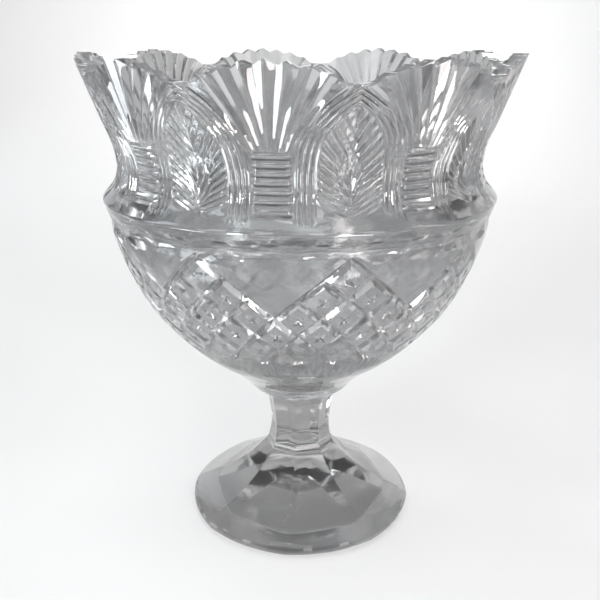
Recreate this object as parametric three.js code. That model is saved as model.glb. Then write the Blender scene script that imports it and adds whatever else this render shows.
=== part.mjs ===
// Cut-crystal pedestal bowl: a toothed, flared bowl on an eight-sided stem and foot.
// Millimetres, +Z up. The foot stands on z = 0 and everything turns about the Z axis.
// Angles are in degrees round Z, from -Y towards +X, so that one fan faces -Y.
import * as THREE from 'three';

// Whole object
const TOTAL_HEIGHT = 295.4; // to the tip of the tallest tooth

// Pedestal sizes
const FOOT_RADIUS = 74;
const FOOT_EDGE = 7; // height of the foot's edge
const FOOT_BEVEL = 3; // bevels at the top and bottom of that edge
const FOOT_RING = 16; // width of the flat ring that the foot stands on
const FOOT_HOLLOW = 13; // rise of the hollow under the foot
const STEM_RADIUS = 19.5; // over the corners, at the waist
const STEM_WAIST = 55; // height of the waist above the ground
const STEM_TOP_RADIUS = 23.5; // over the corners
const PEDESTAL_HEIGHT = 82;
const PEDESTAL_SIDES = 8;
const FOOT_ROUNDNESS = 0.86; // 0 is an eight-sided foot outline, 1 a round one

// Clear film between the stem and the bowl
const FILM_THICKNESS = 0.4;
const FILM_INSET = 0.8; // how far the film stays inside the stem's top

// Bowl sizes, with heights above the bowl's own base
const BASE_RADIUS = 24.5;
const LEDGE_RADIUS = 117.5;
const LEDGE_HEIGHT = 132;
const NECK_RADIUS = 107.9;
const NECK_HEIGHT = 150.5;
const RIM_RADIUS = 128.3;
const RIM_HEIGHT = TOTAL_HEIGHT - PEDESTAL_HEIGHT - FILM_THICKNESS; // tip of the tallest tooth
const DIP_HEIGHT = 201.5; // rim between two fans
const WALL = 8; // gallery wall
const SIDE_WALL = 9; // wall below the ledge
const FLOOR_THICKNESS = 16; // glass under the middle of the bowl

// Cut pattern
const FAN_COUNT = 9; // fans round the gallery, with an arch and a leaf between each two
const TEETH_PER_FAN = 7;
const TOOTH_WIDTH = 10.5; // at the rim
const TOOTH_HEIGHT = 2.8;
const FLUTE_DEPTH = 2.4; // of the fan's grooves at the rim
const FLUTE_ROOT_DEPTH = 0.9; // of the same grooves where they meet the ladder
const LADDER_TOP = 170; // height of the ladder column's top
const LADDER_FOOT = 140;
const LADDER_TOP_WIDTH = 20;
const LADDER_FOOT_WIDTH = 21;
const LADDER_RIBS = 7; // ribs one above another
const RIB_DEPTH = 1.3; // of the valleys between them
const ARCH_SPRING = 158; // height at which the arch leaves the column
const ARCH_GAP = 25; // between the two arches beside a ladder column
const ARCH_BAND = 8.8; // width of the arch's fluted band
const ARCH_BAND_DEPTH = 1.1;
const ARCH_CURVE = 2.6; // how late the arch turns towards its point
const FAN_SPREAD = 1.25; // how late the fan's grooves spread towards the rim
const LEAST_STRIP = 0.6; // degrees left between two neighbouring cut lines
const LEAF_SLANT = 6; // how much higher a leaf's veins are at the arch than in the leaf's middle
const VEIN_DEPTH = 0.9;
const SCALLOP_TOP = 127.5; // the ring of scallops under the ledge
const SCALLOP_FOOT = 116.5;
const SCALLOP_DEPTH = 1.2;
const BLOCKS_PER_FAN = 3; // lattice blocks, and scallops, across one fan
const LATTICE_ROWS = 12; // half rows of blocks
const LATTICE_FOOT = 49;
const BLOCK_TOP = 0.72; // flat top of a block, as a share of the block
const GROOVE_DEPTH = 2.2;

// How finely round shapes are faceted
const INNER_COLUMNS = 63;
const INNER_ROWS = 13;
const BASE_COLUMNS = 54;
const BASE_ROWS = 6;
const FACET_COLUMNS = 4;
const FAN_RING_SHARES = [0, 0.12, 0.24, 0.37, 0.5, 0.65, 1]; // rings of points up the fan, as shares of its height
const SWEEP_RING_SHARE = 0.45; // ring between the ledge and the ladder's foot
const SEARCH_STEPS = 40; // halvings when a height is looked up on a curve

const FULL_TURN = 360;
const SECTOR = FULL_TURN / FAN_COUNT;
const HALF_SECTOR = SECTOR / 2;
const RADIANS = Math.PI / 180;

const lerp = THREE.MathUtils.lerp;
const clamp = THREE.MathUtils.clamp;

// A vertex knows how deep it is cut, so that faces can be split along the cuts.
function vertex(angle, radius, height, cut = 0) {
  const turn = angle * RADIANS;
  const reach = radius - cut;
  const point = new THREE.Vector3(reach * Math.sin(turn), -reach * Math.cos(turn), height);
  return { angle, cut, point };
}

function evenRing(columns, radius, height) {
  const ring = [];
  for (let i = 0; i < columns; i += 1) {
    ring.push(vertex((i / columns) * FULL_TURN - HALF_SECTOR, radius, height));
  }
  return ring;
}

// Closes a stack of rings into one solid: a cap, the bands between the rings, and a cap with its middle at a height.
function solidFromRings(rings, bottomMiddle, topMiddle) {
  const positions = [];
  const triangle = (a, b, c) => {
    for (const corner of [a, b, c]) positions.push(corner.x, corner.y, corner.z);
  };
  const evenBand = (low, high) => {
    for (let i = 0; i < low.length; i += 1) {
      const j = (i + 1) % low.length;
      const rising = Math.abs(low[i].cut - high[j].cut);
      const falling = Math.abs(low[j].cut - high[i].cut);
      const deeper = low[i].cut + high[j].cut > low[j].cut + high[i].cut;
      if (rising < falling || (rising === falling && deeper)) {
        triangle(low[i].point, low[j].point, high[j].point);
        triangle(low[i].point, high[j].point, high[i].point);
      } else {
        triangle(low[i].point, low[j].point, high[i].point);
        triangle(low[j].point, high[j].point, high[i].point);
      }
    }
  };
  const unevenBand = (low, high) => {
    const angleAt = (ring, i) => ring[i % ring.length].angle + (i >= ring.length ? FULL_TURN : 0);
    const pointAt = (ring, i) => ring[i % ring.length].point;
    let i = 0;
    let j = 0;
    while (i < low.length || j < high.length) {
      const stepLow = j === high.length
        || (i < low.length && angleAt(low, i + 1) <= angleAt(high, j + 1));
      if (stepLow) {
        triangle(pointAt(low, i), pointAt(low, i + 1), pointAt(high, j));
        i += 1;
      } else {
        triangle(pointAt(low, i), pointAt(high, j + 1), pointAt(high, j));
        j += 1;
      }
    }
  };
  const cap = (ring, middle, upward) => {
    const centre = new THREE.Vector3(0, 0, middle);
    for (let i = 0; i < ring.length; i += 1) {
      const here = ring[i].point;
      const next = ring[(i + 1) % ring.length].point;
      if (upward) triangle(centre, here, next);
      else triangle(centre, next, here);
    }
  };

  cap(rings[0], bottomMiddle, false);
  for (let k = 0; k + 1 < rings.length; k += 1) {
    const band = rings[k].length === rings[k + 1].length ? evenBand : unevenBand;
    band(rings[k], rings[k + 1]);
  }
  cap(rings[rings.length - 1], topMiddle, true);

  const geometry = new THREE.BufferGeometry();
  geometry.setAttribute('position', new THREE.Float32BufferAttribute(positions, 3));
  geometry.computeVertexNormals();
  return geometry;
}

// Profiles are smooth curves of radius (x) by height (y) that only ever rise.
function radiusAt(profile, height) {
  let low = 0;
  let high = 1;
  for (let step = 0; step < SEARCH_STEPS; step += 1) {
    const middle = (low + high) / 2;
    if (profile.getPoint(middle).y < height) low = middle;
    else high = middle;
  }
  return profile.getPoint((low + high) / 2).x;
}

const profileThrough = (points) => new THREE.SplineCurve(points.map(([r, z]) => new THREE.Vector2(r, z)));

// The side below the ledge: shares of the way out from the base to the ledge, and of the way up.
const SIDE_SHAPE = [
  [0.07, 0.03], [0.215, 0.136], [0.425, 0.25], [0.588, 0.364],
  [0.758, 0.515], [0.867, 0.667], [0.939, 0.818], [0.979, 0.943],
];
const sidePoints = SIDE_SHAPE.map(([out, up]) => [lerp(BASE_RADIUS, LEDGE_RADIUS, out), LEDGE_HEIGHT * up]);
const sideProfile = profileThrough([[BASE_RADIUS, 0], ...sidePoints, [LEDGE_RADIUS, LEDGE_HEIGHT]]);

// The gallery: a sweep in from the ledge to the neck, then a straight flare to the rim.
const SWEEP_SHAPE = [[0.43, 0.27], [0.86, 0.65]];
const FLARE_SHAPE = [[0.085, 0.18], [0.29, 0.375]];
const galleryProfile = profileThrough([
  [LEDGE_RADIUS, LEDGE_HEIGHT],
  ...SWEEP_SHAPE.map(([out, up]) => [lerp(LEDGE_RADIUS, NECK_RADIUS, out), lerp(LEDGE_HEIGHT, NECK_HEIGHT, up)]),
  [NECK_RADIUS, NECK_HEIGHT],
  ...FLARE_SHAPE.map(([out, up]) => [lerp(NECK_RADIUS, RIM_RADIUS, out), lerp(NECK_HEIGHT, RIM_HEIGHT, up)]),
  [RIM_RADIUS, RIM_HEIGHT],
]);

const outerRadius = (height) => radiusAt(height < LEDGE_HEIGHT ? sideProfile : galleryProfile, height);

// The inside is plain: it keeps one wall from the side, runs smoothly past the ledge, and flares with the gallery.
const INSIDE_FIRST = 3; // the first side point that has a wall over it, not the floor
const FLOOR_SHAPE = [0.36, 0.2]; // one point of the floor's curve, as shares of the way to the first wall point
const FLARE_LEAN = Math.atan2(RIM_RADIUS - NECK_RADIUS, RIM_HEIGHT - NECK_HEIGHT);
const wallAcross = WALL / Math.cos(FLARE_LEAN);

function insideOfSide([radius, height]) {
  const above = outerRadius(height + 1);
  const below = outerRadius(height - 1);
  const lean = Math.atan2(above - below, 2);
  return [radius - SIDE_WALL * Math.cos(lean), height + SIDE_WALL * Math.sin(lean)];
}

const insideSide = sidePoints.slice(INSIDE_FIRST, -1).map(insideOfSide);
const insideProfile = profileThrough([
  [0, FLOOR_THICKNESS],
  [insideSide[0][0] * FLOOR_SHAPE[0], lerp(FLOOR_THICKNESS, insideSide[0][1], FLOOR_SHAPE[1])],
  ...insideSide,
  [NECK_RADIUS - WALL, NECK_HEIGHT],
  [lerp(NECK_RADIUS, RIM_RADIUS, FLARE_SHAPE[1][0]) - wallAcross, lerp(NECK_HEIGHT, RIM_HEIGHT, FLARE_SHAPE[1][1])],
  [RIM_RADIUS - wallAcross, RIM_HEIGHT],
]);

// Widths on the glass, as degrees round the axis.
const degreesFor = (width, radius) => width / radius / RADIANS;

const toothDegrees = degreesFor(TOOTH_WIDTH, RIM_RADIUS);
const fanEdge = (TEETH_PER_FAN / 2) * toothDegrees;
const archOuterFoot = degreesFor(ARCH_GAP / 2, NECK_RADIUS);
const archBandDegrees = degreesFor(ARCH_BAND, NECK_RADIUS);

function archAngle(height, footAngle, apexHeight) {
  const climb = clamp((height - ARCH_SPRING) / (apexHeight - ARCH_SPRING), 0, 1);
  return lerp(footAngle, HALF_SECTOR, climb ** ARCH_CURVE);
}

// The rim: each fan is a low crown of teeth, and the rim is level between two fans.
function rimHeightAt(line) {
  const crown = lerp(RIM_HEIGHT, DIP_HEIGHT, Math.min(line / (TEETH_PER_FAN / 2), 1) ** 2);
  const notch = line % 1 === 0 ? 0 : TOOTH_HEIGHT;
  return Math.max(crown - notch, DIP_HEIGHT);
}

// One half of a fan, from its middle outwards: ridge and groove lines, then the arch's band, then the leaf.
const fanLines = Array.from({ length: TEETH_PER_FAN + 1 }, (_, i) => i / 2);
const ladderLines = [0, TEETH_PER_FAN / 2 - 0.5, TEETH_PER_FAN / 2]; // a rib's middle, the start of its end, its end
const BAND_LINES = [0, 0.5, 1]; // across the arch's band
const LEAF_LINES = [0.5, 1]; // from the band to the leaf's middle

function ladderHalfWidth(height) {
  const climb = clamp((height - LADDER_FOOT) / (LADDER_TOP - LADDER_FOOT), 0, 1);
  return lerp(LADDER_FOOT_WIDTH, LADDER_TOP_WIDTH, climb) / 2;
}

// Half a ring of the gallery: climb is 0 at the ladder's top and 1 at the rim, drop is how far the ring lies below the
// ladder's top, and a valley ring runs between two ribs of the ladder and two veins of the leaf.
function halfFan(climb, drop, valley) {
  const half = [];
  for (const line of drop > 0 ? ladderLines : fanLines) {
    const height = lerp(LADDER_TOP, rimHeightAt(line), climb) - drop;
    const share = line / (TEETH_PER_FAN / 2);
    const root = degreesFor(ladderHalfWidth(height), outerRadius(height)) * share;
    const groove = line % 1 === 0 ? 0 : lerp(FLUTE_ROOT_DEPTH, FLUTE_DEPTH, climb);
    const rib = valley || share === 1 ? RIB_DEPTH : 0;
    half.push({ angle: lerp(root, fanEdge * share, climb ** FAN_SPREAD), height, cut: drop > 0 ? rib : groove });
  }
  const height = lerp(LADDER_TOP, DIP_HEIGHT, climb) - drop;
  const slant = LEAF_SLANT * (1 - climb);
  const edge = half[half.length - 1].angle;
  const outer = archAngle(height, archOuterFoot, DIP_HEIGHT);
  const inner = archAngle(height, archOuterFoot + archBandDegrees, DIP_HEIGHT - ARCH_BAND);
  const first = clamp(outer, edge + LEAST_STRIP, HALF_SECTOR - 3 * LEAST_STRIP);
  const last = clamp(inner, first + 2 * LEAST_STRIP, HALF_SECTOR - LEAST_STRIP);
  for (const line of BAND_LINES) {
    const flute = line === 0.5 && climb < 1 ? ARCH_BAND_DEPTH : 0;
    half.push({ angle: lerp(first, last, line), height: height + (slant / 2) * line, cut: flute });
  }
  for (const line of LEAF_LINES) {
    const vein = valley && climb < 1 ? VEIN_DEPTH : 0;
    half.push({ angle: lerp(last, HALF_SECTOR, line), height: height + slant * (0.5 - line), cut: vein });
  }
  return half;
}

function galleryRing(climb, drop, valley, radiusFor = outerRadius, cutScale = 1) {
  const half = halfFan(climb, drop, valley);
  const ring = [];
  for (let fan = 0; fan < FAN_COUNT; fan += 1) {
    const left = half.slice(1).reverse().map((p) => ({ ...p, angle: -p.angle }));
    for (const p of [...left, ...half.slice(0, -1)]) {
      ring.push(vertex(fan * SECTOR + p.angle, radiusFor(p.height), p.height, p.cut * cutScale));
    }
  }
  return ring;
}

// Scallops and lattice share columns at a quarter of a block's width.
const BLOCK_COLUMNS = FAN_COUNT * BLOCKS_PER_FAN * 4;
const columnDegrees = FULL_TURN / BLOCK_COLUMNS;
const columnsPerFan = BLOCKS_PER_FAN * 4;

function scallopRing(height, depth) {
  const ring = [];
  for (let i = 0; i < BLOCK_COLUMNS; i += 1) {
    const angle = i * columnDegrees - HALF_SECTOR;
    const across = Math.abs(Math.sin((i * Math.PI) / 4));
    ring.push(vertex(angle, outerRadius(height), height, depth * across));
  }
  return ring;
}

// The lattice: grooves cross in two slants and leave flat-topped blocks. It is left out above two slanting lines
// that meet under each fan, which leaves a clear window there.
const halfRow = (SCALLOP_FOOT - LATTICE_FOOT) / LATTICE_ROWS;
const windowRows = columnsPerFan / 2;

function latticeRing(row) {
  const ring = [];
  for (let i = 0; i < BLOCK_COLUMNS; i += 1) {
    const fromLeaf = Math.min(i % columnsPerFan, columnsPerFan - (i % columnsPerFan));
    const inWindow = row < fromLeaf && row < windowRows;
    const acrossBlock = ((i + row) % 4 + 4) % 4;
    const alongBlock = ((i - row) % 4 + 4) % 4;
    const onGroove = acrossBlock === 0 || alongBlock === 0;
    let angle = i * columnDegrees;
    let height = SCALLOP_FOOT - row * halfRow;
    if (!onGroove && !inWindow) {
      const spread = 2 * BLOCK_TOP - 1;
      const towardsCentre = blockCentreOffset(i, row);
      angle -= towardsCentre.columns * spread * columnDegrees;
      height += towardsCentre.rows * spread * halfRow;
    }
    const cut = onGroove && !inWindow ? GROOVE_DEPTH : 0;
    ring.push(vertex(angle - HALF_SECTOR, outerRadius(height), height, cut));
  }
  return ring;
}

// Which way the middle of a block lies from a corner of its flat top, in columns and in half rows.
function blockCentreOffset(i, row) {
  const onCentreColumn = (column, line) => column % 2 === 0 && (column + line) % 4 === 2;
  if (onCentreColumn(i, row)) return { columns: 0, rows: 0 };
  for (const side of [-1, 1]) {
    if (onCentreColumn(i + side + BLOCK_COLUMNS, row)) return { columns: side, rows: 0 };
    if (onCentreColumn(i + BLOCK_COLUMNS, row + side)) return { columns: 0, rows: side };
  }
  return { columns: 0, rows: 0 };
}

function bowlGeometry() {
  const rings = [];
  for (let k = 0; k < BASE_ROWS; k += 1) {
    const height = (LATTICE_FOOT * k) / BASE_ROWS;
    rings.push(evenRing(BASE_COLUMNS, outerRadius(height), height));
  }
  for (let row = LATTICE_ROWS; row >= 0; row -= 1) rings.push(latticeRing(row));
  rings.push(scallopRing((SCALLOP_FOOT + SCALLOP_TOP) / 2, SCALLOP_DEPTH));
  rings.push(scallopRing(SCALLOP_TOP, 0));
  rings.push(scallopRing(LEDGE_HEIGHT, 0));
  const ledgeSweep = lerp(LEDGE_HEIGHT, LADDER_FOOT, SWEEP_RING_SHARE);
  rings.push(scallopRing(ledgeSweep, 0));
  const halfRib = (LADDER_TOP - LADDER_FOOT) / LADDER_RIBS / 2;
  for (let i = 2 * LADDER_RIBS; i > 0; i -= 1) rings.push(galleryRing(0, halfRib * i, i % 2 === 0));
  FAN_RING_SHARES.forEach((climb, i) => rings.push(galleryRing(climb, 0, i % 2 === 0)));
  rings.push(galleryRing(1, 0, false, (height) => radiusAt(insideProfile, height), 0));
  const inside = insideProfile.getSpacedPoints(INNER_ROWS).reverse();
  for (const point of inside) {
    const onWall = point.y < DIP_HEIGHT - ARCH_BAND && point.y > FLOOR_THICKNESS;
    if (onWall) rings.push(evenRing(INNER_COLUMNS, point.x, point.y));
  }
  return solidFromRings(rings, 0, FLOOR_THICKNESS);
}

// The pedestal's outline over its corners. Foot: shares of the way in from the foot's edge to the waist and of the
// way up, and how eight-sided it is there. Stem: shares of the way out from the waist to the top and of the way up.
const FOOT_SHAPE = [
  [0.11, 0.04, 0.5], [0.285, 0.14, 0.9], [0.516, 0.3, 1.1], [0.726, 0.457, 1.1],
  [0.87, 0.63, 1], [0.95, 0.76, 1], [0.985, 0.88, 1], [1, 1, 1],
];
const STEM_SHAPE = [[0.12, 0.37], [0.5, 0.74], [1, 1]];
const facetDegrees = FULL_TURN / PEDESTAL_SIDES;

// The hollow under the foot, from its middle to the standing ring: shares of its radius and of its rise.
const HOLLOW_SHAPE = [[0.35, 0.88], [0.7, 0.51], [0.93, 0.13], [1, 0]];

function facetRing(radius, height, facet) {
  const ring = [];
  const flat = Math.cos((facetDegrees / 2) * RADIANS);
  for (let i = 0; i < PEDESTAL_SIDES * FACET_COLUMNS; i += 1) {
    const angle = (i / FACET_COLUMNS) * facetDegrees;
    const fromMiddle = ((i % FACET_COLUMNS) / FACET_COLUMNS - 0.5) * facetDegrees;
    const polygon = flat / Math.cos(fromMiddle * RADIANS);
    ring.push(vertex(angle, radius * lerp(1, polygon, facet), height));
  }
  return ring;
}

function pedestalGeometry() {
  const edgeFacet = 1 - FOOT_ROUNDNESS;
  const ringInside = FOOT_RADIUS - FOOT_BEVEL - FOOT_RING;
  const rings = [
    ...HOLLOW_SHAPE.map(([out, up]) => facetRing(ringInside * out, FOOT_HOLLOW * up, 0)),
    facetRing(FOOT_RADIUS - FOOT_BEVEL, 0, edgeFacet),
    facetRing(FOOT_RADIUS, FOOT_BEVEL, edgeFacet),
    facetRing(FOOT_RADIUS, FOOT_EDGE - FOOT_BEVEL, edgeFacet),
    facetRing(FOOT_RADIUS - FOOT_BEVEL, FOOT_EDGE, edgeFacet),
    ...FOOT_SHAPE.map(([across, up, facet]) => facetRing(
      lerp(FOOT_RADIUS, STEM_RADIUS, across),
      lerp(FOOT_EDGE, STEM_WAIST, up),
      facet,
    )),
    ...STEM_SHAPE.map(([across, up]) => facetRing(
      lerp(STEM_RADIUS, STEM_TOP_RADIUS, across),
      lerp(STEM_WAIST, PEDESTAL_HEIGHT, up),
      1,
    )),
  ];
  return solidFromRings(rings, FOOT_HOLLOW, PEDESTAL_HEIGHT);
}

// The film is a thin disc that stays inside both flat faces that it joins.
function filmGeometry() {
  const acrossFlats = STEM_TOP_RADIUS * Math.cos((facetDegrees / 2) * RADIANS);
  const radius = Math.min(acrossFlats, BASE_RADIUS) - FILM_INSET;
  const disc = new THREE.CylinderGeometry(radius, radius, FILM_THICKNESS, PEDESTAL_SIDES * FACET_COLUMNS);
  return disc.rotateX(Math.PI / 2);
}

const crystal = new THREE.MeshStandardMaterial({ color: 0xdfe4e6, roughness: 0.03, metalness: 0 });
const curedFilm = new THREE.MeshStandardMaterial({ color: 0xe8e9e6, roughness: 0.1, metalness: 0 });

const part = new THREE.Group();

const pedestal = new THREE.Mesh(pedestalGeometry(), crystal);
pedestal.name = 'pedestal';
part.add(pedestal);

const film = new THREE.Mesh(filmGeometry(), curedFilm);
film.name = 'bond_film';
film.position.z = PEDESTAL_HEIGHT + FILM_THICKNESS / 2;
part.add(film);

const bowl = new THREE.Mesh(bowlGeometry(), crystal);
bowl.name = 'bowl';
bowl.position.z = PEDESTAL_HEIGHT + FILM_THICKNESS;
part.add(bowl);

export default part;
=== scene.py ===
import math

import bmesh
import bpy
import numpy as np
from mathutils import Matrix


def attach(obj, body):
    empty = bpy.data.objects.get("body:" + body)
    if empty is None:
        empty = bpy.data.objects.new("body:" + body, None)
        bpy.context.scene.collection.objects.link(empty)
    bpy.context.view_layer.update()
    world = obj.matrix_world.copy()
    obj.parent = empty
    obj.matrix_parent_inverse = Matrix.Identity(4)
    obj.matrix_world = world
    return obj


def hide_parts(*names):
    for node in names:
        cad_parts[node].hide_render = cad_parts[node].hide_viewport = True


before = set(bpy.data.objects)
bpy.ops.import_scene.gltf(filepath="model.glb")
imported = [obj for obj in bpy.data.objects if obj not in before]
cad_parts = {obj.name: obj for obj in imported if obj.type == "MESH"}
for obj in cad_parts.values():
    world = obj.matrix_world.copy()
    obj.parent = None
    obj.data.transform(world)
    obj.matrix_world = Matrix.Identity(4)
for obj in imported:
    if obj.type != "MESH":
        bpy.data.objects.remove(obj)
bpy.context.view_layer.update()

# Lengths of the pieces are in millimetres until a mesh is made, and angles are in degrees. The bowl is nine
# equal sectors round the axis. An angle across a sector counts from the middle of its fan, so a half sector
# runs from 0, in the middle of a fan, to 20, in the middle of a leaf. Depths are cut inwards.
MILLIMETRE = 0.001
SECTORS = 9
HALF_SECTOR = 180.0 / SECTORS

# Joint: the stem's top, the cured film on it, and the bowl's base on the film.
STEM_TOP = 82.0
FILM_THICKNESS = 0.4
BASE_HEIGHT = STEM_TOP + FILM_THICKNESS
BASE_RADIUS = 24.5

# The bowl's outline, as height and radius, from its base up to the ledge, in to the neck and out to the rim.
RIM_HEIGHT = 295.4
LEDGE_FOOT = (212.4, 117)
LEDGE_TOP = (216.9, 116)
NECK = (232.9, 107.9)
BODY = [(BASE_HEIGHT, BASE_RADIUS), (86.4, 31), (95, 38.6), (105, 50.4), (115, 63.9), (130, 79.2), (150, 95),
        (170, 105), (190, 111.8), (206.5, 115.4), LEDGE_FOOT]
LEDGE = [LEDGE_FOOT, (214.4, 117.5), LEDGE_TOP]
THROAT = [LEDGE_TOP, (221.9, 111.5), (226.4, 109.3), NECK]
FLARE = [NECK, (244, 109.6), (262, 116.2), (RIM_HEIGHT, 128.3)]
FLOOR_HEIGHT = 98.6
FLOOR_RADIUS = 8
INSIDE = [(FLOOR_HEIGHT, FLOOR_RADIUS), (102.8, 19), (111.9, 36.3), (122.4, 52.8), (133.6, 68.9),
          (147.2, 82.7), (164.2, 92.5), (181.9, 100.7), (201, 102.8), (220.6, 100.6), (240, 100.5),
          (258.8, 106.2), (283.9, 115.5), (RIM_HEIGHT, 119.9)]

# Rim: half a fan, as places counted in teeth and heights, then the level dip over the leaf.
TOOTH_ANGLE = 4.7
RIM_TEETH = [(0, 294.4), (0.5, 291.5), (1, 293.5), (1.5, 290.6), (2, 291.6), (2.5, 288.5), (3, 288),
             (3.5, 284.3)]
RIM_DIP = 283.6
RIM_STRETCH_FROM = 276.0

# Fan: flutes that narrow from the teeth down to the top of the ladder.
FAN_EDGE_TOOTH = 3.5
FAN_ROOT_PITCH = 1.46
FAN_SPREAD = 1.25
FAN_TOP = 290.0
FAN_DEPTH = 2.4
FAN_ROOT_DEPTH = 0.9
FAN_LEAST_STRIP = 0.2

# One more rib between the fan's last valley and the arch: places across that strip, and shares of the depth.
OUTER_RIB_PLACES = [0, 0.45, 0.72, 1]
OUTER_RIB_DEPTHS = [1, 0.1, 0.75, 0]

# Ladder: rounded ribs one above another, under each fan.
LADDER_TOP = 252.4
LADDER_FOOT = 222.4
LADDER_RIBS = 7
LADDER_TOP_ANGLE = 5.1
LADDER_FOOT_ANGLE = 5.5
LADDER_DEPTH = 1.8
LADDER_END = 3.2
LADDER_ROUNDNESS = 1.6
LADDER_END_DEPTH = 1.8
LADDER_SILL = 1.4
LADDER_LEAST_STRIP = 0.1

# Arch: a band of three flutes round each leaf, from its outer to its inner line.
ARCH_SPRING = 240.4
ARCH_OUTER_FOOT = 6.65
ARCH_INNER_FOOT = 11.3
ARCH_OUTER_APEX = 282.4
ARCH_INNER_APEX = 274.8
ARCH_CURVE = 2.7
ARCH_DEPTH = 1.3
ARCH_FLUTES = 3
ARCH_SEARCH = (-1.0, 3.5)
ARCH_SEARCH_STEPS = 26
GALLERY_FOOT = 217.6
GALLERY_FADE = 4.5

# Leaf: vee cuts that rise outwards from a point beyond its middle, a smaller leaf inside, and a clear
# diamond at its foot. A centre of veins is given as its distance beyond the middle and its height.
VEIN_DEPTH = 1.45
VEIN_ANGLE = 3.8
VEIN_CENTRE = (26.0, 211.0)
LEAF_EDGE = 0.12
LEAF_FOOT = 219.4
LEAF_FOOT_RISE = 0.42
LEAF_FOOT_FADE = 1.5
INNER_LEAF_MIDDLE = 238.0
INNER_LEAF_HALF_HEIGHT = 14.8
INNER_LEAF_HALF_WIDTH = 6.4
INNER_VEIN_CENTRE = (9.0, 212.0)
INNER_VEIN_ANGLE = 7.2
OUTLINE_WIDTH = 0.9
OUTLINE_DEPTH = 1.1
OUTLINE_REACH = 1.03
DIAMOND_HEIGHT = 222.6
DIAMOND_HALF_WIDTH = 2.4
DIAMOND_HALF_HEIGHT = 3.2
DIAMOND_DEPTH = 0.6

# Scallops under the ledge, three to a sector.
SCALLOP_ANGLE = 2.0 * HALF_SECTOR / 3.0
SCALLOP_MIDDLE = 203.6
SCALLOP_HALF_HEIGHT = 6.8
SCALLOP_HALF_WIDTH = 16.6
SCALLOP_DEPTH = 2.6

# Lattice of raised blocks, three to a sector, each with a small star cut into its top.
BLOCK_HALF_ANGLE = HALF_SECTOR / 3.0
BLOCK_HALF_HEIGHT = 11.45
LATTICE_NODE = 188.8
LATTICE_FOOT = 132.4
LATTICE_FADE = 0.8
GROOVE_SHARE = 0.3
GROOVE_DEPTH = 2.6
WINDOW_LINE = 2.0
STAR_LENGTH = 0.62
STAR_WIDTH = 0.24
STAR_DEPTH = 2.2

# Ring of fine flutes under the lattice, between two lines.
RING_TOP = 131.4
RING_FOOT = 120.6
RING_FLUTES = 12
RING_DEPTH = 1.3
RING_LINE_WIDTH = 0.9
RING_LINE_DEPTH = 0.7

# Ridges between two cuts are polished round by about this much.
EDGE_RADIUS = 0.3

# The wall's slope is measured this far above and below a point, and cuts lean with it below the gallery.
SLOPE_REACH = 0.5
SLOPE_FADE = 4.0

# Grid of half a sector, before it is thinned to the triangles that its cuts need. The rows are given as the
# height that they start from and their step. Points as near to a seam as this belong to it.
COLUMNS = 150
ROW_STEPS = [(BASE_HEIGHT, 1.4), (119.4, 0.5), (LATTICE_FOOT, 0.42), (211.4, 0.4), (217.0, 0.45),
             (222.0, 0.36)]
RIM_ROWS = 48
LIP_ROWS = 8
INSIDE_ROWS = 64
HALF_SECTOR_TRIANGLES = 10600
SEAM_ANGLE = 0.05
SEAM_REACH = 0.3
SEAM_CLOSENESS = 0.004
CREASE_ANGLE = 34.0

# Pedestal: an eight-sided stem on a domed foot, with an edge towards the front.
SIDES = 8
STEM_OUTLINE = [(82.5, 23.5), (75, 21.4), (65, 20), (55, 19.5), (48.5, 20.3), (43, 22), (38, 26), (28.8, 35),
                (18.4, 50), (10.6, 66), (8.3, 70)]
FOOT_RADIUS = 74.0
FOOT_EDGE = [(7.2, 71.6), (6.1, 72.9), (4.7, 73.8), (3.5, FOOT_RADIUS), (2.2, 73.6), (1.1, 72.6),
             (0.3, 71.2), (0, 70)]
FOOT_ROUNDNESS = 0.86
ROUNDING_FROM = 24.0
PANEL_DEPTH = 0.8
PANEL_FROM = 21.0
PANEL_TO = 72.0
HOLLOW = [(0, 55), (1.8, 51.2), (6.6, 38.5), (11.4, 19.3), (13, 4)]
PEDESTAL_ROWS = 90
HOLLOW_ROWS = 24
SIDE_COLUMNS = 12
PEDESTAL_CREASE = 8.0

# Cured film between the stem and the bowl, which laps a little into both.
FILM_RADIUS = 21.4
FILM_LAP = 0.05
FILM_COLUMNS = 96

# A face belongs to the plain inside if it lies this near to its curve, and no lower than this under its
# floor. It belongs to the underside of the foot, or to the flat ring that the foot stands on, if its normal
# points down by more than this, and if it lies no higher than this above the hollow's top or the ground.
INSIDE_NEARNESS = 0.6
FLOOR_NEARNESS = 0.5
UNDERSIDE_SLOPE = -0.3
UNDERSIDE_MARGIN = 1.0
STANDING_SLOPE = -0.9
STANDING_MARGIN = 0.5

# Glass: the crystal itself is clear, and its grey is painted shade, for a dark room seen through it. The
# stem and foot are solid and thicker than the bowl's wall, and their darker grey is more painted shade. The
# cut outside is polished; the plain inside and the underside of the foot are a little less smooth, and
# soften what lies behind.
# The flat standing ring is ground, so it is the roughest face, and its paler grey is painted light that
# lifts the shade of the floor under it.
CRYSTAL_INDEX = 1.56
CRYSTAL_GRAIN = 14.0
# Grey of the crystal: painted shade, for a dark room seen through clear glass. The solid grey is darker
# painted shade.
WALL_PAINTED_SHADE = (0.6, 0.605, 0.61)
SOLID_PAINTED_SHADE = (0.36, 0.36, 0.36)
# Paler grey of the standing ring: painted light, lifting the shade of the floor under the foot.
STANDING_PAINTED_LIGHT = (0.58, 0.58, 0.58)
POLISHED = (0.0, 0.02)
PLAIN_INSIDE = (0.1, 0.14)
PLAIN_UNDERSIDE = (0.08, 0.12)
GROUND = (0.15, 0.2)
WALL_SHADE = 0.8
SOLID_SHADE = 0.92
FILM_INDEX = 1.5
FILM_GRAIN = 30.0
FILM_TINT = (0.93, 0.93, 0.92)
FILM_POLISH = (0.0, 0.03)
GLASS_GLEAM = 0.8
GLASS_DETAIL = 3.0
GLASS_DRIFT = 0.97

# Share of the light that passes through the glass into its shadow.
SHADOW_CLEARNESS = 0.8

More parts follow.
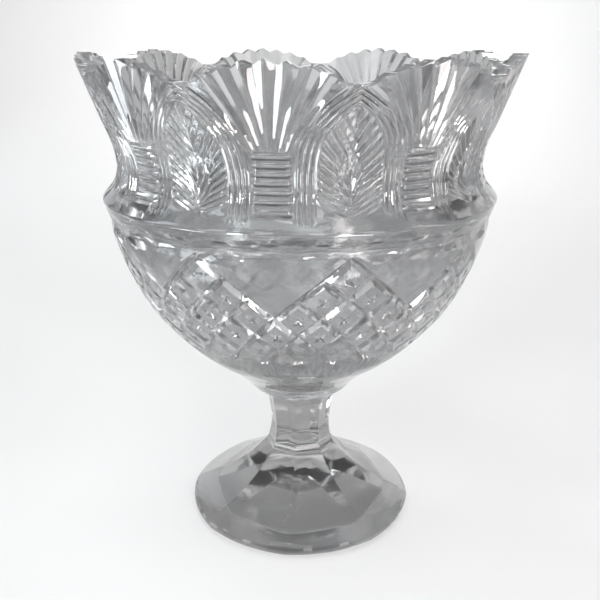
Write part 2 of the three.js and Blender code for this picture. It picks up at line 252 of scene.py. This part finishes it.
# Pale board of the floor and backdrop, in metres. It lies a hair below the foot, so that light gets in
# between them.
BOARD_COLOUR = (0.86, 0.86, 0.86)
BOARD_GRAIN = 6.0
BOARD_DETAIL = 2.0
BOARD_DRIFT = 0.985
BOARD_ROUGHNESS = 0.9
BOARD_GLEAM = 0.1
BOARD_HALF_WIDTH = 1.0
BOARD_FRONT = -0.9
BOARD_BACK = 1.5
BOARD_BEND = 0.5
BOARD_BEND_STEPS = 16
BOARD_TOP = 0.55
BOARD_GAP = 0.0003

# Light, in metres, watts and degrees. Each lamp: name, place, point that it is aimed at, size, power, colour
# and spread. Reflections of the low ones draw bright lines on the cuts that face downwards.
ROOM_COLOUR = (0.5, 0.5, 0.51)
ROOM_STRENGTH = 0.24
AIM_BOWL = (0.0, 0.0, 0.2)
AIM_BELLY = (0.0, 0.0, 0.18)
AIM_GALLERY = (0.0, 0.0, 0.26)
AIM_GALLERY_FRONT = (0.0, -0.11, 0.26)
AIM_BACKDROP = (-0.2, 1.5, 0.2)
WIDE = 180.0
LAMPS = [
    ("top_softbox", (-0.12, -0.1, 1.3), AIM_BOWL, (0.6, 0.35), 2.8, (0.94, 1.0, 0.98), WIDE),
    ("front_top_softbox", (-0.1, -0.55, 1.45), AIM_BOWL, (0.9, 0.3), 1.4, (0.95, 1.0, 1.0), WIDE),
    ("back_softbox", (-0.2, 0.9, 1.5), AIM_BACKDROP, (1.8, 0.4), 20.0, (1.0, 1.0, 1.0), WIDE),
    ("back_left", (-1.08, 1.0, 0.5), AIM_BOWL, (0.35, 0.9), 0.6, (0.88, 0.95, 1.0), WIDE),
    ("back_right", (0.85, 1.1, 0.5), AIM_BOWL, (0.35, 0.9), 0.6, (1.0, 0.92, 0.9), WIDE),
    ("low_left", (-0.36, -0.3, 0.07), AIM_GALLERY_FRONT, (0.16, 0.1), 0.15, (0.9, 0.96, 1.0), 80.0),
    ("low_right", (0.27, -0.41, 0.05), AIM_GALLERY_FRONT, (0.16, 0.1), 0.15, (1.0, 0.94, 0.93), 80.0),
    ("front_low_left", (-0.55, -1.1, 0.3), AIM_BELLY, (0.15, 0.5), 1.3, (0.92, 0.97, 1.0), 60.0),
    ("front_low_right", (0.62, -1.05, 0.3), AIM_BELLY, (0.15, 0.5), 1.3, (1.0, 0.94, 0.93), 60.0),
]

# Ring of small lamps near the floor: turn to the right of the front, and colour.
LOW_REACH = 0.47
LOW_HEIGHT = 0.06
LOW_SIZE = (0.045, 0.1)
LOW_POWER = 0.012
LOW_SPREAD = 70.0
LOW_LAMPS = [(-98, (0.9, 0.96, 1.0)), (-74, (0.92, 0.97, 1.0)), (-24, (1.0, 1.0, 1.0)),
             (60, (1.0, 0.94, 0.93)), (84, (1.0, 0.93, 0.92))]

# Upright strips in front: turn to the right of the front, height of the middle, and colour.
STRIP_REACH = 1.3
STRIP_SIZE = (0.2, 0.9)
STRIP_POWER = 1.8
STRIPS = [(-80, 0.7, (0.86, 0.94, 1.0)), (-48, 1.0, (0.9, 0.96, 1.0)), (-16, 1.25, (1.0, 1.0, 1.0)),
          (18, 1.2, (1.0, 0.95, 0.94)), (50, 0.95, (1.0, 0.9, 0.88)), (82, 0.7, (1.0, 0.9, 0.88))]

# Camera: a little above the rim, looking down at the bowl, and a little to the right of a fan's middle.
CAMERA_DISTANCE = 0.469
CAMERA_HEIGHT = 0.3046
CAMERA_TURN = 7.2
CAMERA_PITCH = 19.1
CAMERA_LENS = 46.26
CAMERA_SENSOR = 36.0
CAMERA_CLIP = 0.01

# Light goes through many faces of the glass before it is given up.
GLASS_BOUNCES = 24
MIRROR_BOUNCES = 10


def clamp(value):
    return np.clip(value, 0.0, 1.0)


def between(low, high, share):
    return low + (high - low) * share


def vee(place):
    """0 on the ridge at each whole number, and 1 in the valley between two ridges."""
    return 1.0 - np.abs(2.0 * (place - np.floor(place)) - 1.0)


def curve_through(points, steps=40):
    """A smooth curve through points of height and radius, as many short steps."""
    given = np.array(points, dtype=float)
    first = 2 * given[0] - given[1]
    last = 2 * given[-1] - given[-2]
    held = np.vstack([first, given, last])
    reach = np.linalg.norm(np.diff(held, axis=0), axis=1) ** 0.5
    out = []
    for index in range(1, len(held) - 2):
        before, start, end, after = held[index - 1:index + 3]
        gap_before, gap, gap_after = reach[index - 1:index + 2]
        slope_start = ((start - before) / gap_before - (end - before) / (gap_before + gap)
                       + (end - start) / gap)
        slope_end = (end - start) / gap - (after - start) / (gap + gap_after) + (after - end) / gap_after
        for share in np.arange(steps) / steps:
            square = share * share
            cube = square * share
            out.append((2 * cube - 3 * square + 1) * start + (cube - 2 * square + share) * gap * slope_start
                       + (3 * square - 2 * cube) * end + (cube - square) * gap * slope_end)
    out.append(given[-1])
    return np.array(out)


def radius_on(curve, height):
    return np.interp(height, curve[:, 0], curve[:, 1])


def length_along(curve):
    """Length of the curve from its start to each of its points."""
    return np.concatenate([[0.0], np.cumsum(np.linalg.norm(np.diff(curve, axis=0), axis=1))])


OUTSIDE_CURVE = np.vstack([curve_through(BODY)[:-1], curve_through(LEDGE)[:-1], curve_through(THROAT)[:-1],
                           curve_through(FLARE)])
INSIDE_CURVE = curve_through(INSIDE)


def rim_height(angle):
    teeth = np.array(RIM_TEETH)
    angles = np.append(teeth[:, 0] * TOOTH_ANGLE, HALF_SECTOR)
    heights = np.append(teeth[:, 1], RIM_DIP)
    return np.interp(angle, angles, heights)


def arch_line(height, place):
    """Angle of the arch's line at a height: place 0 is the band's outer line and place 1 its inner line."""
    foot = between(ARCH_OUTER_FOOT, ARCH_INNER_FOOT, place)
    apex = between(ARCH_OUTER_APEX, ARCH_INNER_APEX, place)
    climb = clamp((height - ARCH_SPRING) / (apex - ARCH_SPRING))
    return foot + (HALF_SECTOR - foot) * climb ** ARCH_CURVE


def arch_place(angle, height):
    """How far a point lies from the band's outer line towards the leaf, in widths of the band."""
    low = np.full_like(angle, ARCH_SEARCH[0])
    high = np.full_like(angle, ARCH_SEARCH[1])
    for _ in range(ARCH_SEARCH_STEPS):
        middle = (low + high) / 2
        inside = arch_line(height, middle) < angle
        low = np.where(inside, middle, low)
        high = np.where(inside, high, middle)
    return (low + high) / 2


def fan_cut(angle, height):
    """Flutes of the fan, and one more rib from its last valley to the arch."""
    climb = clamp((height - LADDER_TOP) / (FAN_TOP - LADDER_TOP))
    pitch = between(FAN_ROOT_PITCH, TOOTH_ANGLE, climb ** FAN_SPREAD)
    depth = between(FAN_ROOT_DEPTH, FAN_DEPTH, climb)
    edge = FAN_EDGE_TOOTH * pitch
    slope = clamp((angle - edge) / np.maximum(arch_line(height, 0.0) - edge, FAN_LEAST_STRIP))
    outer_rib = np.interp(slope, OUTER_RIB_PLACES, OUTER_RIB_DEPTHS)
    return depth * np.where(angle < edge, vee(angle / pitch), outer_rib)


def ladder_cut(angle, height, radius):
    """Ribs of the ladder with rounded ends, and the slope from their ends up to the arch."""
    share = clamp((LADDER_TOP - height) / (LADDER_TOP - LADDER_FOOT))
    edge = between(LADDER_TOP_ANGLE, LADDER_FOOT_ANGLE, share)
    rib = LADDER_RIBS * share - 0.5
    to_edge = np.radians(edge - angle) * radius
    end = clamp(1.0 - to_edge / LADDER_END)
    above_sill = clamp((height - LADDER_FOOT) / LADDER_SILL + 1.0)
    ribs = LADDER_DEPTH * above_sill * np.minimum(np.hypot(vee(rib), end), 1.0) ** LADDER_ROUNDNESS
    slope = clamp((angle - edge) / np.maximum(arch_line(height, 0.0) - edge, LADDER_LEAST_STRIP))
    return np.where(angle < edge, ribs, LADDER_END_DEPTH * (1.0 - slope ** 2))


def veins(across, height, centre, step):
    """Vee cuts along lines that spread from a point on the far side of the leaf's middle."""
    turn = np.degrees(np.arctan2(height - centre[1], across + centre[0]))
    return vee(turn / step)


def leaf_cut(angle, height, radius, place):
    """Veins of the leaf, the smaller leaf with its outline, the middle rib and the clear diamond."""
    across = np.radians(HALF_SECTOR - angle) * radius
    edge = clamp((place - 1.0) / LEAF_EDGE)
    foot = clamp((height - LEAF_FOOT - LEAF_FOOT_RISE * across) / LEAF_FOOT_FADE)
    outer = VEIN_DEPTH * edge * foot * veins(across, height, VEIN_CENTRE, VEIN_ANGLE)
    lift = (height - INNER_LEAF_MIDDLE) / INNER_LEAF_HALF_HEIGHT
    from_edge = across - INNER_LEAF_HALF_WIDTH * (1.0 - lift ** 2)
    outline = OUTLINE_DEPTH * clamp(1.0 - np.abs(from_edge) / OUTLINE_WIDTH) * (np.abs(lift) < OUTLINE_REACH)
    middle_rib = OUTLINE_DEPTH * clamp(1.0 - across / OUTLINE_WIDTH)
    inner = np.maximum(VEIN_DEPTH * veins(across, height, INNER_VEIN_CENTRE, INNER_VEIN_ANGLE), middle_rib)
    inside = (from_edge < 0) & (np.abs(lift) < 1)
    depth = np.where(inside, inner, np.maximum(outer, middle_rib * edge * foot))
    diamond = across / DIAMOND_HALF_WIDTH + np.abs(height - DIAMOND_HEIGHT) / DIAMOND_HALF_HEIGHT
    return np.where(diamond < 1, DIAMOND_DEPTH, np.maximum(depth, outline))


def gallery_cut(angle, height, radius):
    """Everything cut between the ledge and the rim."""
    place = arch_place(angle, height)
    under_fan = np.where(height > LADDER_TOP, fan_cut(angle, height), ladder_cut(angle, height, radius))
    flute = ARCH_FLUTES * place
    hollow = 2.0 * (flute - np.floor(flute)) - 1.0
    band = ARCH_DEPTH * (1.0 - hollow ** 2)
    leaf = leaf_cut(angle, height, radius, place)
    depth = np.where(place < 0, under_fan, np.where(place < 1, band, leaf))
    return depth * clamp((height - GALLERY_FOOT) / GALLERY_FADE)


def scallop_cut(angle, height, radius):
    turn = angle - SCALLOP_ANGLE * np.round(angle / SCALLOP_ANGLE)
    across = np.radians(turn) * radius / SCALLOP_HALF_WIDTH
    rise = (height - SCALLOP_MIDDLE) / SCALLOP_HALF_HEIGHT
    return SCALLOP_DEPTH * clamp(1.0 - across ** 2 - rise ** 2)


def lattice_cut(angle, height):
    """Crossing grooves, and a star in the top of each block. Above the window line the wall is clear."""
    along = angle / BLOCK_HALF_ANGLE
    up = (height - LATTICE_NODE) / BLOCK_HALF_HEIGHT
    rising = along - up
    falling = along + up
    to_rising = np.abs(rising - 2.0 * np.round(rising / 2.0))
    to_falling = np.abs(falling - 2.0 * np.round(falling / 2.0))
    below = rising >= WINDOW_LINE
    edge = clamp(1.0 - to_rising / GROOVE_SHARE) * (rising > WINDOW_LINE - GROOVE_SHARE)
    groove = GROOVE_DEPTH * np.maximum(edge, clamp(1.0 - to_falling / GROOVE_SHARE) * below)
    first = 1.0 - to_rising
    second = 1.0 - to_falling
    taper_first = clamp(1.0 - first / STAR_LENGTH)
    taper_second = clamp(1.0 - second / STAR_LENGTH)
    arm_first = taper_second - first / STAR_WIDTH
    arm_second = taper_first - second / STAR_WIDTH
    star = STAR_DEPTH * clamp(np.maximum(arm_first, arm_second)) * below
    return np.maximum(groove, star) * clamp((height - LATTICE_FOOT) / LATTICE_FADE)


def ring_cut(angle, height):
    inside = (height > RING_FOOT) & (height < RING_TOP)
    flutes = RING_DEPTH * vee(angle * RING_FLUTES / (2.0 * HALF_SECTOR)) * inside
    top_line = clamp(1.0 - np.abs(height - RING_TOP) / RING_LINE_WIDTH)
    foot_line = clamp(1.0 - np.abs(height - RING_FOOT) / RING_LINE_WIDTH)
    return np.maximum(flutes, RING_LINE_DEPTH * np.maximum(top_line, foot_line))


def outside_grid(angle, height):
    """Radius and height of the cut wall. Below the gallery a cut follows the slope of the wall."""
    radius = radius_on(OUTSIDE_CURVE, height)
    above = radius_on(OUTSIDE_CURVE, height + SLOPE_REACH)
    below = radius_on(OUTSIDE_CURVE, height - SLOPE_REACH)
    lean = (above - below) / (2.0 * SLOPE_REACH)
    steep = np.sqrt(1.0 + lean ** 2)
    depth = np.where(height > GALLERY_FOOT, gallery_cut(angle, height, radius), 0.0)
    depth = np.maximum(depth, scallop_cut(angle, height, radius))
    lattice = (height > LATTICE_FOOT) & (height < 2.0 * BLOCK_HALF_HEIGHT + LATTICE_NODE)
    depth = np.maximum(depth, np.where(lattice, lattice_cut(angle, height), 0.0))
    depth = np.maximum(depth, ring_cut(angle, height))
    depth = np.hypot(depth, EDGE_RADIUS) - EDGE_RADIUS
    sloped = clamp((GALLERY_FOOT - height) / SLOPE_FADE)
    return radius - depth * between(1.0, 1.0 / steep, sloped), height + depth * lean / steep * sloped


def row_heights():
    heights = []
    stops = [start for start, step in ROW_STEPS[1:]] + [RIM_STRETCH_FROM]
    for (start, step), stop in zip(ROW_STEPS, stops):
        count = max(1, round((stop - start) / step))
        heights.extend(start + (stop - start) * np.arange(count) / count)
    return np.array(heights)


def half_sector_grid():
    """Angle, radius and height of each point: up the outside, over the lip and down the inside."""
    turns = np.linspace(0.0, HALF_SECTOR, COLUMNS + 1)
    rim = rim_height(turns)
    rows = row_heights()
    lower = np.repeat(rows[:, None], COLUMNS + 1, axis=1)
    shares = np.linspace(0.0, 1.0, RIM_ROWS + 1)[:, None]
    upper = between(RIM_STRETCH_FROM, rim[None, :], shares)
    height = np.vstack([lower, upper])
    angle = np.repeat(turns[None, :], len(height), axis=0)
    radius, height = outside_grid(angle, height)

    lip_out = radius[-1]
    lip_in = radius_on(INSIDE_CURVE, rim)
    lip_shares = (np.arange(1, LIP_ROWS) / LIP_ROWS)[:, None]
    lip_radius = between(lip_out[None, :], lip_in[None, :], lip_shares)
    lip_height = np.repeat(height[-1][None, :], LIP_ROWS - 1, axis=0)

    reach = length_along(INSIDE_CURVE)
    places = np.linspace(reach[-1], 0.0, INSIDE_ROWS + 1)
    inside = np.interp(places, reach, INSIDE_CURVE[:, 0])[:, None]
    share = (inside - RIM_STRETCH_FROM) / (RIM_HEIGHT - RIM_STRETCH_FROM)
    inside = np.where(inside > RIM_STRETCH_FROM, between(RIM_STRETCH_FROM, rim[None, :], share), inside)
    inside_radius = radius_on(INSIDE_CURVE, inside)

    height = np.vstack([height, lip_height, inside])
    radius = np.vstack([radius, lip_radius, inside_radius])
    angle = np.repeat(turns[None, :], len(height), axis=0)
    return angle, radius, height


def points_round(angle, radius, height):
    """Points in metres. Angle 0 is the front, towards -Y, and angles grow towards +X."""
    turn = np.radians(angle)
    return np.stack([radius * np.sin(turn), -radius * np.cos(turn), height], axis=-1) * MILLIMETRE


def grid_faces(rows, columns, closed=False):
    """Four-sided faces between the rows and columns of a grid, closed round the axis or open."""
    index = np.arange(rows * columns).reshape(rows, columns)
    right = np.roll(index, -1, axis=1)
    if not closed:
        index, right = index[:, :-1], right[:, :-1]
    return np.stack([index[:-1], right[:-1], right[1:], index[1:]], axis=-1).reshape(-1, 4)


def new_object(name, points, faces):
    mesh = bpy.data.meshes.new(name)
    mesh.from_pydata(points.tolist(), [], faces.tolist())
    made = bpy.data.objects.new(name, mesh)
    bpy.context.scene.collection.objects.link(made)
    return made


def thinned(name, points, faces, triangles):
    """Points and triangles of a grid, thinned to about that many triangles."""
    made = new_object(name, points, faces)
    thin = made.modifiers.new("thin", "DECIMATE")
    thin.ratio = triangles / (2.0 * len(faces))
    thin.use_collapse_triangulate = True
    shown = made.evaluated_get(bpy.context.evaluated_depsgraph_get())
    mesh = shown.to_mesh()
    mesh.calc_loop_triangles()
    kept = np.empty(len(mesh.vertices) * 3)
    mesh.vertices.foreach_get("co", kept)
    corners = np.empty(len(mesh.loop_triangles) * 3, dtype=int)
    mesh.loop_triangles.foreach_get("vertices", corners)
    shown.to_mesh_clear()
    mesh = made.data
    bpy.data.objects.remove(made)
    bpy.data.meshes.remove(mesh)
    return kept.reshape(-1, 3), corners.reshape(-1, 3)


def open_points(triangles):
    """Numbers of the points on edges that only one triangle has."""
    edges = np.vstack([triangles[:, [0, 1]], triangles[:, [1, 2]], triangles[:, [2, 0]]])
    edges.sort(axis=1)
    kept, counts = np.unique(edges, axis=0, return_counts=True)
    return np.unique(kept[counts == 1])


def straight_seams(points, triangles):
    """Angle, radius and height of a half sector's points, with its open edges put back in their places."""
    turn = np.degrees(np.arctan2(points[:, 0], -points[:, 1]))
    reach = np.hypot(points[:, 0], points[:, 1]) / MILLIMETRE
    level = points[:, 2] / MILLIMETRE
    seam = open_points(triangles)
    front = seam[turn[seam] < SEAM_ANGLE]
    back = seam[turn[seam] > HALF_SECTOR - SEAM_ANGLE]
    foot = seam[level[seam] < BASE_HEIGHT + SEAM_REACH]
    floor = seam[reach[seam] < FLOOR_RADIUS + SEAM_REACH]
    turn[front] = 0.0
    turn[back] = HALF_SECTOR
    level[foot] = BASE_HEIGHT
    reach[foot] = BASE_RADIUS
    level[floor] = FLOOR_HEIGHT
    reach[floor] = FLOOR_RADIUS
    return turn, reach, level


def finish_mesh(made, crease=CREASE_ANGLE):
    """Closes the open ends, turns every face outwards, and keeps edges sharper than the crease angle."""
    work = bmesh.new()
    work.from_mesh(made.data)
    edge_points = [point for point in work.verts if point.is_boundary]
    bmesh.ops.remove_doubles(work, verts=edge_points, dist=SEAM_CLOSENESS * MILLIMETRE)
    bmesh.ops.holes_fill(work, edges=[edge for edge in work.edges if edge.is_boundary], sides=0)
    bmesh.ops.recalc_face_normals(work, faces=work.faces)
    work.to_mesh(made.data)
    work.free()
    made.data.shade_smooth()
    made.data.set_sharp_from_angle(angle=math.radians(crease))
    flatten = made.modifiers.new("flat_facets", "WEIGHTED_NORMAL")
    flatten.keep_sharp = True
    bpy.context.view_layer.objects.active = made
    with bpy.context.temp_override(object=made, active_object=made):
        bpy.ops.object.modifier_apply(modifier=flatten.name)


def make_bowl():
    """One half sector, thinned, and then repeated and mirrored round the axis."""
    angle, radius, height = half_sector_grid()
    rows, columns = angle.shape
    points = points_round(angle, radius, height).reshape(-1, 3)
    points, triangles = thinned("half_sector", points, grid_faces(rows, columns), HALF_SECTOR_TRIANGLES)
    turn, reach, level = straight_seams(points, triangles)
    all_points = []
    all_triangles = []
    for sector in range(SECTORS):
        middle = sector * 2.0 * HALF_SECTOR
        for side in (1.0, -1.0):
            start = sum(len(part) for part in all_points)
            all_points.append(points_round(middle + side * turn, reach, level))
            turned = triangles if side > 0 else triangles[:, ::-1]
            all_triangles.append(turned + start)
    made = new_object("bowl_crystal", np.vstack(all_points), np.vstack(all_triangles))
    finish_mesh(made)
    return made


def make_pedestal():
    """Rows down the stem, over the foot and into the hollow. The flat sides turn round towards the edge."""
    outline = curve_through(STEM_OUTLINE)
    hollow = curve_through(HOLLOW)
    reach = length_along(outline)
    places = np.linspace(0.0, reach[-1], PEDESTAL_ROWS)
    upper = np.stack([np.interp(places, reach, outline[:, part]) for part in (0, 1)], axis=1)
    picked = hollow[np.linspace(0, len(hollow) - 1, HOLLOW_ROWS).astype(int)]
    rows = np.vstack([upper, np.array(FOOT_EDGE), picked])
    height = rows[:, :1]
    corner = rows[:, 1:]

    columns = SIDES * SIDE_COLUMNS
    turns = np.arange(columns) * 360.0 / columns
    side = 360.0 / SIDES
    share = (turns % side) / side
    flat = math.cos(math.radians(side / 2)) / np.cos(np.radians((share - 0.5) * side))
    roundness = FOOT_ROUNDNESS * clamp((corner - ROUNDING_FROM) / (FOOT_RADIUS - ROUNDING_FROM))
    radius = corner * between(flat[None, :], 1.0, roundness)
    on_foot = np.zeros((len(rows), 1))
    on_foot[:PEDESTAL_ROWS, 0] = np.sin(np.pi * clamp((upper[:, 1] - PANEL_FROM) / (PANEL_TO - PANEL_FROM)))
    scoop = PANEL_DEPTH * on_foot * (1.0 - (2.0 * share[None, :] - 1.0) ** 2)
    level = np.repeat(height, columns, axis=1) - scoop
    points = points_round(np.repeat(turns[None, :], len(rows), axis=0), radius, level).reshape(-1, 3)
    made = new_object("pedestal_crystal", points, grid_faces(len(rows), columns, closed=True))
    finish_mesh(made, PEDESTAL_CREASE)
    return made


def make_film():
    turns = np.arange(FILM_COLUMNS) * 360.0 / FILM_COLUMNS
    angle = np.repeat(turns[None, :], 2, axis=0)
    height = np.array([[STEM_TOP - FILM_LAP], [STEM_TOP + FILM_THICKNESS + FILM_LAP]])
    height = np.repeat(height, FILM_COLUMNS, axis=1)
    radius = np.full_like(height, FILM_RADIUS)
    points = points_round(angle, radius, height).reshape(-1, 3)
    made = new_object("bond_film_clear", points, grid_faces(2, FILM_COLUMNS, closed=True))
    finish_mesh(made)
    return made


def make_sweep():
    """Pale floor that curves up into a backdrop behind the bowl."""
    bend_from = BOARD_BACK - BOARD_BEND
    path = [(BOARD_FRONT, 0.0), (bend_from, 0.0)]
    for step in range(1, BOARD_BEND_STEPS + 1):
        turn = math.radians(90.0 * step / BOARD_BEND_STEPS)
        path.append((bend_from + BOARD_BEND * math.sin(turn), BOARD_BEND - BOARD_BEND * math.cos(turn)))
    path.append((BOARD_BACK, BOARD_TOP))
    sides = (-BOARD_HALF_WIDTH, BOARD_HALF_WIDTH)
    points = np.array([(x, y, z - BOARD_GAP) for y, z in path for x in sides])
    made = new_object("studio_sweep", points, grid_faces(len(path), 2))
    made.data.shade_smooth()
    return made


def new_material(name):
    material = bpy.data.materials.new(name)
    material.use_nodes = True
    return material


def drifting_colour(material, colour, darkest, grain, detail):
    """Colour that drifts a little with noise in the piece's own coordinates. Gives back the noise."""
    nodes = material.node_tree.nodes
    links = material.node_tree.links
    place = nodes.new("ShaderNodeTexCoord")
    noise = nodes.new("ShaderNodeTexNoise")
    noise.inputs["Scale"].default_value = grain
    noise.inputs["Detail"].default_value = detail
    links.new(place.outputs["Object"], noise.inputs["Vector"])
    colours = nodes.new("ShaderNodeValToRGB")
    colours.color_ramp.elements[0].color = (*[darkest * part for part in colour], 1.0)
    colours.color_ramp.elements[1].color = (*colour, 1.0)
    links.new(noise.outputs["Fac"], colours.inputs["Fac"])
    links.new(colours.outputs["Color"], nodes["Principled BSDF"].inputs["Base Color"])
    return noise


def glass(name, tint_and_painted_shade, index, grain, roughness, let_light):
    """Glass in the given colour, which on the crystal is painted shade, with a faint drift of it and of its
    polish. It lets most light through into its shadow.
    """
    material = new_material(name)
    nodes = material.node_tree.nodes
    links = material.node_tree.links
    shader = nodes["Principled BSDF"]
    shader.inputs["Transmission Weight"].default_value = 1.0
    shader.inputs["IOR"].default_value = index
    shader.inputs["Specular IOR Level"].default_value = GLASS_GLEAM
    noise = drifting_colour(material, tint_and_painted_shade, GLASS_DRIFT, grain, GLASS_DETAIL)
    polish = nodes.new("ShaderNodeMapRange")
    polish.inputs["To Min"].default_value = roughness[0]
    polish.inputs["To Max"].default_value = roughness[1]
    links.new(noise.outputs["Fac"], polish.inputs["Value"])
    links.new(polish.outputs["Result"], shader.inputs["Roughness"])
    let_through = nodes.new("ShaderNodeBsdfTransparent")
    let_through.inputs["Color"].default_value = (let_light, let_light, let_light, 1.0)
    kind_of_ray = nodes.new("ShaderNodeLightPath")
    share = nodes.new("ShaderNodeMath")
    share.operation = "MULTIPLY"
    share.inputs[1].default_value = SHADOW_CLEARNESS
    links.new(kind_of_ray.outputs["Is Shadow Ray"], share.inputs[0])
    both = nodes.new("ShaderNodeMixShader")
    links.new(share.outputs["Value"], both.inputs["Fac"])
    links.new(shader.outputs["BSDF"], both.inputs[1])
    links.new(let_through.outputs["BSDF"], both.inputs[2])
    links.new(both.outputs["Shader"], nodes["Material Output"].inputs["Surface"])
    return material


def crystal(name, tint_and_painted_shade, roughness, let_light):
    return glass(name, tint_and_painted_shade, CRYSTAL_INDEX, CRYSTAL_GRAIN, roughness, let_light)


def pale_board():
    """Plain matt board with a very faint mottle."""
    material = new_material("pale_board")
    shader = material.node_tree.nodes["Principled BSDF"]
    shader.inputs["Roughness"].default_value = BOARD_ROUGHNESS
    shader.inputs["Specular IOR Level"].default_value = BOARD_GLEAM
    drifting_colour(material, BOARD_COLOUR, BOARD_DRIFT, BOARD_GRAIN, BOARD_DETAIL)
    return material


def face_vectors(piece, kind):
    """The centre or the normal of each face, as kind says."""
    vectors = np.empty(len(piece.data.polygons) * 3)
    piece.data.polygons.foreach_get(kind, vectors)
    return vectors.reshape(-1, 3)


def bowl_zones(bowl):
    """True for the faces of the plain inside."""
    middles = face_vectors(bowl, "center") / MILLIMETRE
    heights = middles[:, 2]
    reaches = np.hypot(middles[:, 0], middles[:, 1])
    near_inside = reaches < radius_on(INSIDE_CURVE, heights) + INSIDE_NEARNESS
    return near_inside & (heights > FLOOR_HEIGHT - FLOOR_NEARNESS)


def pedestal_zones(pedestal):
    """2 for the faces of the standing ring, 1 for the rest of the underside, and 0 for the others."""
    slopes = face_vectors(pedestal, "normal")[:, 2]
    heights = face_vectors(pedestal, "center")[:, 2] / MILLIMETRE
    under_foot = (slopes < UNDERSIDE_SLOPE) & (heights < HOLLOW[-1][0] + UNDERSIDE_MARGIN)
    on_ring = (slopes < STANDING_SLOPE) & (heights < STANDING_MARGIN)
    return np.where(on_ring, 2, under_foot)


def share_materials(piece, materials, zones):
    """Gives the piece its materials, and each face the one that its zone counts."""
    for material in materials:
        piece.data.materials.append(material)
    piece.data.polygons.foreach_set("material_index", zones.astype(np.int32))
    piece.data.update()


def place_round(reach, turn, height):
    """Place in metres, turned to the right of the front."""
    return (reach * math.sin(math.radians(turn)), -reach * math.cos(math.radians(turn)), height)


def add_lamp(name, place, aim, size, power, colour, spread):
    lamp = bpy.data.lights.new(name, "AREA")
    lamp.shape = "RECTANGLE"
    lamp.size = size[0]
    lamp.size_y = size[1]
    lamp.energy = power
    lamp.color = colour
    lamp.spread = math.radians(spread)
    made = bpy.data.objects.new(name, lamp)
    made.location = place
    towards = np.array(aim) - np.array(place)
    flat = math.hypot(towards[0], towards[1])
    made.rotation_euler = (math.pi / 2 + math.atan2(towards[2], flat), 0.0,
                           math.atan2(towards[1], towards[0]) - math.pi / 2)
    bpy.context.scene.collection.objects.link(made)


def add_light():
    world = bpy.data.worlds.new("soft_room")
    world.use_nodes = True
    room = world.node_tree.nodes["Background"]
    room.inputs["Color"].default_value = (*ROOM_COLOUR, 1.0)
    room.inputs["Strength"].default_value = ROOM_STRENGTH
    bpy.context.scene.world = world
    for lamp in LAMPS:
        add_lamp(*lamp)
    for number, (turn, colour) in enumerate(LOW_LAMPS):
        place = place_round(LOW_REACH, turn, LOW_HEIGHT)
        add_lamp("low_%d" % number, place, AIM_GALLERY, LOW_SIZE, LOW_POWER, colour, LOW_SPREAD)
    for number, (turn, height, colour) in enumerate(STRIPS):
        place = place_round(STRIP_REACH, turn, height)
        add_lamp("strip_%d" % number, place, AIM_BOWL, STRIP_SIZE, STRIP_POWER, colour, WIDE)


def add_camera():
    lens = bpy.data.cameras.new("photo_camera")
    lens.sensor_width = CAMERA_SENSOR
    lens.lens = CAMERA_LENS
    lens.clip_start = CAMERA_CLIP
    camera = bpy.data.objects.new("photo_camera", lens)
    camera.location = place_round(CAMERA_DISTANCE, CAMERA_TURN, CAMERA_HEIGHT)
    camera.rotation_euler = (math.pi / 2 - math.radians(CAMERA_PITCH), 0.0, math.radians(CAMERA_TURN))
    bpy.context.scene.collection.objects.link(camera)
    bpy.context.scene.camera = camera


bowl = make_bowl()
# The bowl's grey is painted shade.
cut_outside = crystal("crystal_wall_painted_shade", WALL_PAINTED_SHADE, POLISHED, WALL_SHADE)
plain_inside = crystal("crystal_inside_painted_shade", WALL_PAINTED_SHADE, PLAIN_INSIDE, WALL_SHADE)
share_materials(bowl, [cut_outside, plain_inside], bowl_zones(bowl))

pedestal = make_pedestal()
# The solid stem and foot take a darker painted shade.
solid_crystal_painted_shade = crystal("crystal_solid_painted_shade", SOLID_PAINTED_SHADE, POLISHED, SOLID_SHADE)
plain_underside = crystal("crystal_underside_painted_shade", SOLID_PAINTED_SHADE, PLAIN_UNDERSIDE, SOLID_SHADE)
# The standing ring's paler grey is painted light over the shade under the foot.
ground_ring = crystal("crystal_ground_ring_painted_light", STANDING_PAINTED_LIGHT, GROUND, SOLID_SHADE)
share_materials(pedestal, [solid_crystal_painted_shade, plain_underside, ground_ring], pedestal_zones(pedestal))

film = make_film()
cured = glass("cured_clear_film", FILM_TINT, FILM_INDEX, FILM_GRAIN, FILM_POLISH, SOLID_SHADE)
film.data.materials.append(cured)

for piece, node, slot in ((bowl, "bowl", "crystal"), (pedestal, "pedestal", "crystal"),
                          (film, "bond_film", "cured_film")):
    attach(piece, "root")
    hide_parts(node)

sweep = make_sweep()
sweep.data.materials.append(pale_board())

add_light()
add_camera()

settings = bpy.context.scene
settings.view_settings.view_transform = "Standard"
settings.cycles.max_bounces = GLASS_BOUNCES
settings.cycles.transmission_bounces = GLASS_BOUNCES
settings.cycles.glossy_bounces = MIRROR_BOUNCES
